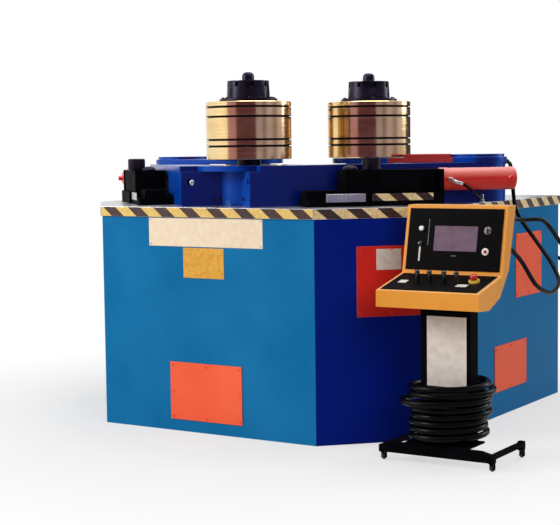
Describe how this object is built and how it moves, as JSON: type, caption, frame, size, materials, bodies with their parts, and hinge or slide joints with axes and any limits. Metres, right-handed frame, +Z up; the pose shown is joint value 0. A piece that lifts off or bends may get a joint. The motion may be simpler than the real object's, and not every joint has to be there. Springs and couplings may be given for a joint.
{
  "type": "profile bending machine",
  "caption": "Horizontal hydraulic roll bender: cabinet with swing arms, upright forming rolls and side guides on its deck, and a control console on a castor trolley joined by cables.",
  "frame": {"origin": "on the floor, at the centre of the cabinet's footprint", "axes": "+Z up; -Y towards the operator, out of the cabinet's front face; +X to the operator's right, where the console stands"},
  "size_m": [2.8672, 2.251, 1.7613],
  "materials": {
    "cabinet_blue": "semi-gloss enamel",
    "frame_blue": "semi-gloss enamel",
    "cover_red": "satin enamel",
    "deck_steel": "ground, lightly polished",
    "roll_steel": "turned and polished, warm tint",
    "machined_steel": "machined",
    "blacked_steel": "blackened",
    "cylinder_red": "gloss enamel",
    "frame_black": "semi-gloss enamel",
    "drive_grey": "painted casting",
    "console_orange": "satin enamel",
    "panel_black": "black anodised sheet",
    "screen_glass": "glossy, unlit",
    "button_white": "satin",
    "button_red": "satin",
    "knob_black": "satin",
    "lever_black": "satin knob on a steel stem",
    "wheel_rubber": "matt",
    "cable_rubber": "glossy black jacket"
  },
  "bodies": {
    "machine": {"body_shell": "cabinet_blue", "deck_plate": "deck_steel", "centre_bracket": "frame_blue", "front_cover": "cover_red", "corner_cover": "cover_red", "side_cover_low": "cover_red", "side_cover_high": "cover_red", "hydraulic_unit": "drive_grey", "roll_drive_centre": "drive_grey", "swing_barrel_right": "frame_black", "swing_barrel_left": "frame_black", "guide_rail_right": "frame_black", "guide_rail_left": "frame_black", "guide_cylinder_right": "cylinder_red", "guide_cylinder_left": "cylinder_red", "trolley_base": "frame_black", "trolley_column": "frame_black", "console_housing": "console_orange", "console_panel": "panel_black", "console_screen": "screen_glass", "lever_plate": "panel_black", "control_cable": "cable_rubber", "supply_cable": "cable_rubber", "guide_hose": "cable_rubber", "cable_coil": "cable_rubber"},
    "roll_centre": {"roll_rings_centre": "roll_steel", "roll_nut_centre": "blacked_steel", "roll_shaft_centre": "blacked_steel"},
    "roll_right": {"roll_rings_right": "roll_steel", "roll_nut_right": "blacked_steel", "roll_shaft_right": "blacked_steel"},
    "roll_left": {"roll_rings_left": "roll_steel", "roll_nut_left": "blacked_steel", "roll_shaft_left": "blacked_steel"},
    "arm_right": {"swing_arm_right": "frame_blue", "roll_drive_right": "drive_grey"},
    "cylinder_rod_right": {"swing_rod_right": "machined_steel"},
    "guide_slide_body_right": {"guide_slide_right": "blacked_steel"},
    "guide_roller_body_right": {"guide_roller_right": "blacked_steel"},
    "arm_left": {"swing_arm_left": "frame_blue", "roll_drive_left": "drive_grey"},
    "cylinder_rod_left": {"swing_rod_left": "machined_steel"},
    "guide_slide_body_left": {"guide_slide_left": "blacked_steel"},
    "guide_roller_body_left": {"guide_roller_left": "blacked_steel"},
    "lever_body_1": {"lever_1": "lever_black"},
    "lever_body_2": {"lever_2": "lever_black"},
    "lever_body_3": {"lever_3": "lever_black"},
    "lever_body_4": {"lever_4": "lever_black"},
    "emergency_stop_body": {"emergency_stop": "button_red"},
    "start_button_body": {"start_button": "button_white"},
    "stop_button_body": {"stop_button": "button_red"},
    "selector_body": {"selector_knob": "knob_black"},
    "castor_body_1": {"castor_fork_1": "machined_steel"},
    "wheel_body_1": {"castor_wheel_1": "wheel_rubber"},
    "castor_body_2": {"castor_fork_2": "machined_steel"},
    "wheel_body_2": {"castor_wheel_2": "wheel_rubber"},
    "castor_body_3": {"castor_fork_3": "machined_steel"},
    "wheel_body_3": {"castor_wheel_3": "wheel_rubber"},
    "castor_body_4": {"castor_fork_4": "machined_steel"},
    "wheel_body_4": {"castor_wheel_4": "wheel_rubber"}
  },
  "joints": [
    {"name": "arm_swing_right", "type": "hinge", "parent": "machine", "child": "arm_right", "pos_m": [0.92, 0.158, 1.31], "axis": [0, 0, 1], "range_deg": [0, 14]},
    {"name": "cylinder_stroke_right", "type": "slide", "parent": "machine", "child": "cylinder_rod_right", "axis": [0, -1, 0], "range_m": [0, 0.1335]},
    {"name": "roll_turn_right", "type": "hinge", "parent": "arm_right", "child": "roll_right", "pos_m": [0.38, 0.018, 1.46], "axis": [0, 0, 1], "continuous": true},
    {"name": "guide_travel_right", "type": "slide", "parent": "machine", "child": "guide_slide_body_right", "axis": [-0.7071, -0.7071, 0], "range_m": [0, 0.18]},
    {"name": "guide_roller_turn_right", "type": "hinge", "parent": "guide_slide_body_right", "child": "guide_roller_body_right", "pos_m": [0.7064, -0.55532, 1.26], "axis": [0, 0, 1], "continuous": true},
    {"name": "arm_swing_left", "type": "hinge", "parent": "machine", "child": "arm_left", "pos_m": [-0.92, 0.158, 1.31], "axis": [0, 0, -1], "range_deg": [0, 14]},
    {"name": "cylinder_stroke_left", "type": "slide", "parent": "machine", "child": "cylinder_rod_left", "axis": [0, -1, 0], "range_m": [0, 0.1335]},
    {"name": "roll_turn_left", "type": "hinge", "parent": "arm_left", "child": "roll_left", "pos_m": [-0.38, 0.018, 1.46], "axis": [0, 0, 1], "continuous": true},
    {"name": "guide_travel_left", "type": "slide", "parent": "machine", "child": "guide_slide_body_left", "axis": [0.7071, -0.7071, 0], "range_m": [0, 0.18]},
    {"name": "guide_roller_turn_left", "type": "hinge", "parent": "guide_slide_body_left", "child": "guide_roller_body_left", "pos_m": [-0.7064, -0.55532, 1.26], "axis": [0, 0, 1], "continuous": true},
    {"name": "roll_turn_centre", "type": "hinge", "parent": "machine", "child": "roll_centre", "pos_m": [0, -0.542, 1.46], "axis": [0, 0, 1], "continuous": true},
    {"name": "lever_tilt_1", "type": "hinge", "parent": "machine", "child": "lever_body_1", "pos_m": [1.186, -1.01306, 0.77657], "axis": [1, 0, 0], "range_deg": [-15, 15], "stiffness_Nm_per_rad": 1.2},
    {"name": "lever_tilt_2", "type": "hinge", "parent": "machine", "child": "lever_body_2", "pos_m": [1.244, -1.01306, 0.77657], "axis": [1, 0, 0], "range_deg": [-15, 15], "stiffness_Nm_per_rad": 1.2},
    {"name": "lever_tilt_3", "type": "hinge", "parent": "machine", "child": "lever_body_3", "pos_m": [1.313, -1.01306, 0.77657], "axis": [1, 0, 0], "range_deg": [-15, 15], "stiffness_Nm_per_rad": 1.2},
    {"name": "lever_tilt_4", "type": "hinge", "parent": "machine", "child": "lever_body_4", "pos_m": [1.372, -1.01306, 0.77657], "axis": [1, 0, 0], "range_deg": [-15, 15], "stiffness_Nm_per_rad": 1.2},
    {"name": "emergency_stop_press", "type": "slide", "parent": "machine", "child": "emergency_stop_body", "axis": [0, 0.224, -0.9746], "range_m": [0, 0.005]},
    {"name": "start_press", "type": "slide", "parent": "machine", "child": "start_button_body", "axis": [0, 0.9775, -0.2111], "range_m": [0, 0.003], "stiffness_N_per_m": 1500},
    {"name": "stop_press", "type": "slide", "parent": "machine", "child": "stop_button_body", "axis": [0, 0.9775, -0.2111], "range_m": [0, 0.003], "stiffness_N_per_m": 1500},
    {"name": "selector_turn", "type": "hinge", "parent": "machine", "child": "selector_body", "pos_m": [1.437, -0.84085, 1.00958], "axis": [0, -0.9775, 0.2111], "range_deg": [-45, 45]},
    {"name": "castor_swivel_1", "type": "hinge", "parent": "machine", "child": "castor_body_1", "pos_m": [1.023, -1.045, 0.038], "axis": [0, 0, 1], "continuous": true},
    {"name": "castor_roll_1", "type": "hinge", "parent": "castor_body_1", "child": "wheel_body_1", "pos_m": [1.023, -1.037, 0.015], "axis": [1, 0, 0], "continuous": true},
    {"name": "castor_swivel_2", "type": "hinge", "parent": "machine", "child": "castor_body_2", "pos_m": [1.023, -0.725, 0.038], "axis": [0, 0, 1], "continuous": true},
    {"name": "castor_roll_2", "type": "hinge", "parent": "castor_body_2", "child": "wheel_body_2", "pos_m": [1.023, -0.717, 0.015], "axis": [1, 0, 0], "continuous": true},
    {"name": "castor_swivel_3", "type": "hinge", "parent": "machine", "child": "castor_body_3", "pos_m": [1.543, -1.045, 0.038], "axis": [0, 0, 1], "continuous": true},
    {"name": "castor_roll_3", "type": "hinge", "parent": "castor_body_3", "child": "wheel_body_3", "pos_m": [1.543, -1.037, 0.015], "axis": [1, 0, 0], "continuous": true},
    {"name": "castor_swivel_4", "type": "hinge", "parent": "machine", "child": "castor_body_4", "pos_m": [1.543, -0.725, 0.038], "axis": [0, 0, 1], "continuous": true},
    {"name": "castor_roll_4", "type": "hinge", "parent": "castor_body_4", "child": "wheel_body_4", "pos_m": [1.543, -0.717, 0.015], "axis": [1, 0, 0], "continuous": true}
  ],
  "couplings": [
    {"joint": "cylinder_stroke_right", "follows": "arm_swing_right", "m_per_rad": 0.54316},
    {"joint": "cylinder_stroke_left", "follows": "arm_swing_left", "m_per_rad": 0.54316}
  ]
}
